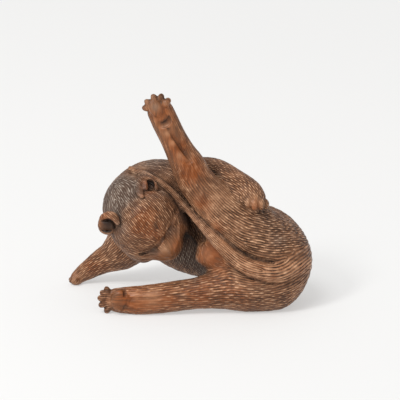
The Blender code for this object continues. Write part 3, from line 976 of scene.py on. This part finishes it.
def streaks(p, way, here, there, count):
    """Random streaks that run along the hair, about 0 to 1."""
    spread = np.random.default_rng(STREAK_SEED).random(count)
    edge = p[there] - p[here]
    share = np.abs((edge * way[here]).sum(1)) / (np.linalg.norm(edge, axis=1) + 1e-9)
    share = share**STREAK_FOLLOWS + 1e-3
    total = np.bincount(here, share, count)
    for _ in range(STREAK_ROUNDS):
        shared = np.bincount(here, share * spread[there], count) / total
        spread = STREAK_KEPT * spread + (1 - STREAK_KEPT) * shared
    spread = (spread - spread.mean()) / spread.std()
    return np.clip(0.5 + STREAK_CONTRAST * spread, 0, 1)


def comb_mesh(settings, p, normal, here, there):
    """The hair's way and sizes, and its two phases with their gradients."""
    way, sizes = comb_hair(p, normal)
    gap, length, _ = sizes.T
    side = np.cross(normal, way)
    gradients = (side * (math.pi / gap)[:, None], way * (2 * math.pi / length)[:, None])
    rounds = settings.spread_rounds // 1
    across, along = (
        spread_phase(gradient, p, here, there, len(p), rounds) for gradient in gradients)
    long_lines = np.clip((length - LINE_LENGTH) / LINE_RUN, 0, 1)
    across = across + (1 - LINE_HELD * long_lines) * stray(p, STRAY_ACROSS)
    along = along + stray(p, STRAY_ALONG)
    return way, sizes, across, along, gradients, long_lines


def carve_cat(settings):
    """The whole carving as one mesh, with its hair cut in."""
    mesh = fine_copy(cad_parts["cat_carving"], settings.face_size)
    p, normal, here, there = fit_to_figure(mesh)
    way, sizes, across, along, gradients, long_lines = comb_mesh(settings, p, normal, here, there)
    gap, _, depth = sizes.T
    smooth = gather(p, SMOOTH, FLAT_SPOT)
    cut = np.clip((1 - smooth) * (EVEN_DEPTH + stray(p, STRAY_DEPTH)), 0, 1)
    tufts = np.cos(across) * (1 - TUFT_SWELL + TUFT_SWELL * np.cos(along))
    coarse = np.clip((gap - TUFT_GAP) / TUFT_RUN, 0, 1)
    raised = tufts * depth * cut * coarse * settings.hair_depth / SQUARE
    raised[p[:, 2] <= GROUND_SHAVE + GROUND_EDGE] = 0
    carved = p + raised[:, None] * normal
    carved[:, 2] = np.maximum(carved[:, 2], GROUND_SHAVE)
    move_vertices(mesh, carved)
    add_hair_map(mesh, p, across, along, gradients)
    # Warm wear and a painted highlight along the whole tail
    off_tail = np.abs(TAIL(p)[0]) / CREASE_BLEND
    tail_wear_and_highlight = TAIL_SHEEN * np.clip(SHEEN_EDGE - SHEEN_FALL * off_tail, 0, 1)
    numbers = {
        "cut": cut * np.clip(FAINT_CUT + depth / DARKER_DEPTH, 0, MOST_CUT),
        "long_lines": long_lines,
        "shut_in": shut_in(p, normal),
        "rubbed": np.maximum(gather(p, RUBBED, SOFT_SPOT), tail_wear_and_highlight),
        # Dust, and a painted grey sheen
        "greyed": gather(p, DUST_AND_SHEEN, SOFT_SPOT),
        # Polish, with painted highlights on the bright places and along the tail
        "polish_and_highlight": np.maximum(gather(p, POLISH_AND_HIGHLIGHT, SOFT_SPOT), tail_wear_and_highlight),
        # Stain and painted shade in the hollows and creases
        "stain_and_shade": gather(p, STAIN_AND_SHADE, FLAT_SPOT),
        "smooth": smooth,
        "streak": streaks(p, way, here, there, len(p)),
    }
    for name, values in numbers.items():
        add_number(mesh, name, values)
    mesh.shade_smooth()
    return mesh


class Amount:
    """A number that varies over a surface, so that shader maths is written as it is read."""

    def __init__(self, finish, socket):
        self.finish = finish
        self.socket = socket

    def maths(self, operation, *others):
        values = dict(enumerate([self, *others]))
        made = self.finish.node("ShaderNodeMath", {"operation": operation}, values)
        return Amount(self.finish, made.outputs[0])

    def __add__(self, other):
        return self.maths("ADD", other)

    def __radd__(self, other):
        return self.maths("ADD", other)

    def __sub__(self, other):
        return self.maths("SUBTRACT", other)

    def __rsub__(self, other):
        return (self * -1).maths("ADD", other)

    def __mul__(self, other):
        return self.maths("MULTIPLY", other)

    def __rmul__(self, other):
        return self.maths("MULTIPLY", other)

    def cosine(self):
        return self.maths("COSINE")

    def between(self, low, high):
        """0 at low and 1 at high, with a soft run between them."""
        settings = {"interpolation_type": "SMOOTHSTEP"}
        values = {"Value": self, "From Min": low, "From Max": high}
        made = self.finish.node("ShaderNodeMapRange", settings, values)
        return Amount(self.finish, made.outputs[0])


class Finish:
    """A material whose surface is worked out by nodes."""

    def __init__(self, name):
        self.material = bpy.data.materials.new(name)
        self.material.use_nodes = True
        self.tree = self.material.node_tree
        self.surface = self.tree.nodes["Principled BSDF"]

    def node(self, kind, settings=None, values=None):
        made = self.tree.nodes.new(kind)
        for name, value in (settings or {}).items():
            setattr(made, name, value)
        for name, value in (values or {}).items():
            self.set(made.inputs[name], value)
        return made

    def set(self, socket, value):
        if isinstance(value, Amount):
            value = value.socket
        if isinstance(value, bpy.types.NodeSocket):
            self.tree.links.new(value, socket)
        else:
            socket.default_value = value

    def number(self, name):
        """A number kept on the mesh."""
        settings = {"attribute_type": "GEOMETRY", "attribute_name": name}
        return Amount(self, self.node("ShaderNodeAttribute", settings).outputs["Fac"])

    def grain(self, place_socket, scale, detail, roughness=0.5):
        """Noise, about 0 to 1, with this many patterns per metre."""
        values = {"Vector": place_socket, "Scale": scale, "Detail": detail, "Roughness": roughness}
        return Amount(self, self.node("ShaderNodeTexNoise", values=values).outputs[0])

    def colours(self, share, first, second):
        """The first colour where share is 0, and the second where it is 1."""
        made = self.node("ShaderNodeMix", {"data_type": "RGBA"})
        self.set(made.inputs[0], share)
        self.set(made.inputs[6], first)
        self.set(made.inputs[7], second)
        return made.outputs[2]


def stained_boxwood(settings):
    """Stained, hand-rubbed boxwood: dark in the cuts, warm where it is rubbed, with painted shade in
    the hollows and painted highlights on the crests and polished places.
    """
    wood = Finish("boxwood")
    spot = wood.node("ShaderNodeTexCoord").outputs["Object"]
    counts = wood.node("ShaderNodeSeparateXYZ", values={
        0: wood.node("ShaderNodeUVMap", {"uv_map": "hair"}).outputs[0]})
    across = Amount(wood, counts.outputs[0]) * (2 * math.pi)
    along = Amount(wood, counts.outputs[1]) * (2 * math.pi)
    cut, long_lines, shut = (wood.number(name) for name in ("cut", "long_lines", "shut_in"))
    rubbed, greyed, smooth = (wood.number(name) for name in ("rubbed", "greyed", "smooth"))
    polish_and_highlight, stain_and_shade, streak = (wood.number(name) for name in ("polish_and_highlight", "stain_and_shade", "streak"))
    blotch, patch, mottle, scratch = (
        wood.grain(spot, *kind) for kind in (BLOTCH, PATCH, MOTTLE, SCRATCH))

    # Strokes: lines along the hair, broken up along their length and by the grain
    lines = (across * 2).cosine() * 0.5
    breaks = across.cosine() * along.cosine() * (0.55 - long_lines * 0.35)
    ridge = lines + breaks + (mottle - 0.5) * 1.5
    height = ridge * cut
    groove = (ridge * -1).between(-0.2, 0.7) * cut
    # Painted highlight along the crest of each stroke
    crest_highlight = ridge.between(0.45, 1.15) * cut

    # The wood itself: brown, warmer where it is rubbed, greyer where it is dusty and where a grey
    # sheen is painted
    warm = (rubbed * 1.1 + (blotch - 0.5) * 1.4 + (streak - 0.5) * 0.5).between(0.1, 0.95)
    grey = (greyed + (blotch - 0.5) * 0.8 + (patch - 0.5) * 0.8).between(0.15, 0.95)
    body = wood.colours(warm, (*settings.hair_colour, 1), (*settings.rubbed_colour, 1))
    body = wood.colours(grey * 0.9, body, (*settings.grey_colour, 1))

    # Dark patches; pale streaks of the grain; and painted highlights on the polished places and on
    # the crests of the strokes
    dark = (patch * 0.7 + streak * 0.5).between(0.75, 0.35) * (1.1 - polish_and_highlight) * 0.45
    body = wood.colours(dark, body, (*settings.cut_colour, 1))
    pale = (streak * 0.6 + mottle * 0.6 + polish_and_highlight * 0.25).between(0.5, 1.05)
    pale = pale * (0.35 - smooth * 0.25)
    pale = pale + crest_highlight * (polish_and_highlight * 0.2 + 0.8) + polish_and_highlight * 0.24
    light = wood.colours(grey, (*settings.pale_grain_and_highlight_colour, 1), (*settings.dusty_grain_and_highlight_colour, 1))
    body = wood.colours(pale, body, light)

    # Stain in the strokes, and painted shade in the deep hollows where the carving keeps the light
    # off, with the stain held there
    body = wood.colours(groove * 0.88, body, (*settings.cut_colour, 1))
    deep = shut.between(0.2, 0.98) * (0.75 - polish_and_highlight * 0.5) + stain_and_shade * 0.65
    body = wood.colours(deep, body, (*settings.hollow_stain_and_shade_colour, 1))
    wood.set(wood.surface.inputs["Base Color"], body)

    rough = groove * 0.2 + shut * 0.2 + mottle * 0.16 - smooth * 0.04 - polish_and_highlight * 0.06
    wood.set(wood.surface.inputs["Roughness"], rough + (settings.polish_roughness - 0.06))
    relief = height + mottle * 0.2 + scratch * 0.08 + streak * 0.3
    bump = wood.node("ShaderNodeBump", values={
        "Strength": 1.0, "Distance": settings.hair_depth * 0.7, "Height": relief})
    wood.set(wood.surface.inputs["Normal"], bump.outputs[0])
    wood.surface.inputs["Specular IOR Level"].default_value = WOOD_SHINE
    wood.surface.inputs["Coat Weight"].default_value = WAX
    wood.surface.inputs["Coat Roughness"].default_value = WAX_ROUGHNESS
    return wood.material


def pale_paper(settings):
    """The matt, nearly white paper of the floor."""
    paper = Finish("pale_paper")
    spot = paper.node("ShaderNodeTexCoord").outputs["Object"]
    cloud = paper.grain(spot, *PAPER_CLOUDS)
    shade = [tone * CLOUD_TONE for tone in settings.floor_colour]
    paper.set(paper.surface.inputs["Base Color"], paper.colours(
        cloud.between(0.3, 0.7), (*settings.floor_colour, 1), (*shade, 1)))
    paper.surface.inputs["Roughness"].default_value = PAPER_ROUGHNESS
    paper.surface.inputs["Specular IOR Level"].default_value = PAPER_SHINE
    paper.surface.inputs["Emission Color"].default_value = GLOW_TINT
    paper.surface.inputs["Emission Strength"].default_value = settings.floor_glow
    return paper.material


def colour(name, description, default):
    """A colour that the panel shows."""
    return bpy.props.FloatVectorProperty(
        name=name, description=description, default=default, subtype="COLOR", min=0, max=1)


class CarvingSettings(bpy.types.PropertyGroup):
    """Sizes and colours of the carving."""

    face_size: bpy.props.FloatProperty(
        name="Face size", description="Width of the fine mesh's faces",
        default=0.000314, min=0.0002, precision=6, subtype="DISTANCE", unit="LENGTH")
    hair_depth: bpy.props.FloatProperty(
        name="Hair depth", description="Depth of a fully cut stroke",
        default=0.00022, min=0.0, precision=6, subtype="DISTANCE", unit="LENGTH")
    spread_rounds: bpy.props.IntProperty(
        name="Combing rounds", description="How long the strokes are evened out",
        default=520, min=50)
    polish_roughness: bpy.props.FloatProperty(
        name="Polish", description="Roughness of the rubbed wood",
        default=0.36, min=0.05, max=1.0)
    hair_colour: colour("Hair", "Wood between the strokes", (0.262, 0.106, 0.045))
    rubbed_colour: colour("Rubbed", "Wood worn warm by handling", (0.265, 0.064, 0.008))
    # Also the grey of the painted sheen
    grey_colour: colour("Dusty", "Wood greyed by dust", (0.150, 0.106, 0.080))
    # Also the colour of the painted highlights where the wood is grey
    dusty_grain_and_highlight_colour: colour("Dust", "Lighter streaks where the wood is greyed", (0.52, 0.43, 0.35))
    # Also the colour of the painted highlights on the crests and polished places
    pale_grain_and_highlight_colour: colour("Pale grain", "Lighter streaks of the grain", (0.78, 0.46, 0.27))
    cut_colour: colour("Cuts", "Stain held in the strokes", (0.050, 0.022, 0.011))
    # Also the colour of the painted shade in the hollows and creases
    hollow_stain_and_shade_colour: colour("Hollows", "Stain held in the deep hollows", (0.020, 0.011, 0.007))


class StageSettings(bpy.types.PropertyGroup):
    """Floor, light and camera."""

    floor_colour: colour("Floor", "Colour of the paper floor", (0.46, 0.458, 0.452))
    floor_glow: bpy.props.FloatProperty(
        name="Floor glow", description="Light that the paper lets through from below",
        default=0.43, min=0.0)
    floor_size: bpy.props.FloatProperty(
        name="Floor size", description="Width of the floor",
        default=6.0, subtype="DISTANCE", unit="LENGTH")
    sky_strength: bpy.props.FloatProperty(
        name="Room light", description="Strength of the light from all sides",
        default=0.62, min=0.0)
    top_light: bpy.props.FloatProperty(
        name="Top light", description="Strength of the soft, even light from above",
        default=1.0, min=0.0)
    side_light: bpy.props.FloatProperty(
        name="Side light", description="Power of the small light at the left, in watts",
        default=1.3, min=0.0)
    camera_distance: bpy.props.FloatProperty(
        name="Camera distance", description="From the camera to the point it looks at",
        default=0.6, subtype="DISTANCE", unit="LENGTH")
    view_width: bpy.props.IntProperty(
        name="View width", description="Squares of the drawing across the whole view",
        default=400, min=10)


class CARVING_OT_cat(bpy.types.Operator):
    """Carves the cat from the solid, with its cut hair and its finish"""

    bl_idname = "carving.cat"
    bl_label = "Carve the Cat"

    def execute(self, context):
        settings = context.scene.carving_settings
        cat = bpy.data.objects.new("carved_cat", carve_cat(settings))
        context.scene.collection.objects.link(cat)
        cat.data.materials.clear()
        cat.data.materials.append(stained_boxwood(settings))
        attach(cat, "root")
        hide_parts("cat_carving")
        return {"FINISHED"}


def add_light(name, kind, strength, spot):
    """A soft light at the spot, turned towards the carving."""
    light = bpy.data.lights.new(name, kind)
    light.energy = strength
    if kind == "SUN":
        light.angle = SUN_SPREAD
    else:
        light.shape = "DISK"
        light.size = LAMP_SIZE
    lamp = bpy.data.objects.new(name, light)
    lamp.location = spot
    lamp.rotation_euler = (-Vector(spot)).to_track_quat("-Z", "Y").to_euler()
    bpy.context.scene.collection.objects.link(lamp)


class CARVING_OT_stage(bpy.types.Operator):
    """Lays the pale floor, hangs the soft lights and sets up the camera"""

    bl_idname = "carving.stage"
    bl_label = "Set the Stage"

    def execute(self, context):
        settings = context.scene.stage_settings
        bm = bmesh.new()
        bmesh.ops.create_grid(bm, x_segments=2, y_segments=2, size=settings.floor_size / 2)
        mesh = bpy.data.meshes.new("paper_floor")
        bm.to_mesh(mesh)
        bm.free()
        floor = bpy.data.objects.new("paper_floor", mesh)
        mesh.materials.append(pale_paper(settings))
        context.scene.collection.objects.link(floor)
        world = bpy.data.worlds.new("soft_room")
        world.use_nodes = True
        room = world.node_tree.nodes["Background"]
        room.inputs["Color"].default_value = (1, 1, 1, 1)
        room.inputs["Strength"].default_value = settings.sky_strength
        context.scene.world = world
        add_light("top_light", "SUN", settings.top_light, TOP_LIGHT)
        add_light("side_light", "AREA", settings.side_light, SIDE_LIGHT)
        self.add_camera(context, settings)
        context.scene.view_settings.view_transform = "Standard"
        return {"FINISHED"}

    def add_camera(self, context, settings):
        aim = Vector((place(*AIM) - ORIGIN) * SQUARE)
        camera = bpy.data.cameras.new("camera")
        camera.sensor_width = SENSOR
        camera.lens = SENSOR * settings.camera_distance / (settings.view_width * SQUARE)
        camera.clip_start = NEAREST_SEEN
        holder = bpy.data.objects.new("camera", camera)
        back = Vector(TO_VIEWER)
        holder.location = aim + back * settings.camera_distance
        holder.rotation_euler = (-back).to_track_quat("-Z", "Y").to_euler()
        context.scene.collection.objects.link(holder)
        context.scene.camera = holder


class CARVING_PT_panel(bpy.types.Panel):
    """Lists the steps of the carving and its settings"""

    bl_idname = "CARVING_PT_panel"
    bl_label = "Boxwood Cat"
    bl_space_type = "VIEW_3D"
    bl_region_type = "UI"
    bl_category = "Carving"

    def draw(self, context):
        column = self.layout.column()
        for operator, group in ((CARVING_OT_cat, context.scene.carving_settings),
                                (CARVING_OT_stage, context.scene.stage_settings)):
            column.operator(operator.bl_idname)
            for name in group.__annotations__:
                column.prop(group, name)


CLASSES = (CarvingSettings, StageSettings, CARVING_OT_cat, CARVING_OT_stage, CARVING_PT_panel)


def register():
    for made in CLASSES:
        bpy.utils.register_class(made)
    bpy.types.Scene.carving_settings = bpy.props.PointerProperty(type=CarvingSettings)
    bpy.types.Scene.stage_settings = bpy.props.PointerProperty(type=StageSettings)


def unregister():
    del bpy.types.Scene.stage_settings
    del bpy.types.Scene.carving_settings
    for made in reversed(CLASSES):
        bpy.utils.unregister_class(made)


def main():
    register()
    bpy.ops.carving.cat()
    bpy.ops.carving.stage()


if __name__ == "__main__":
    main()
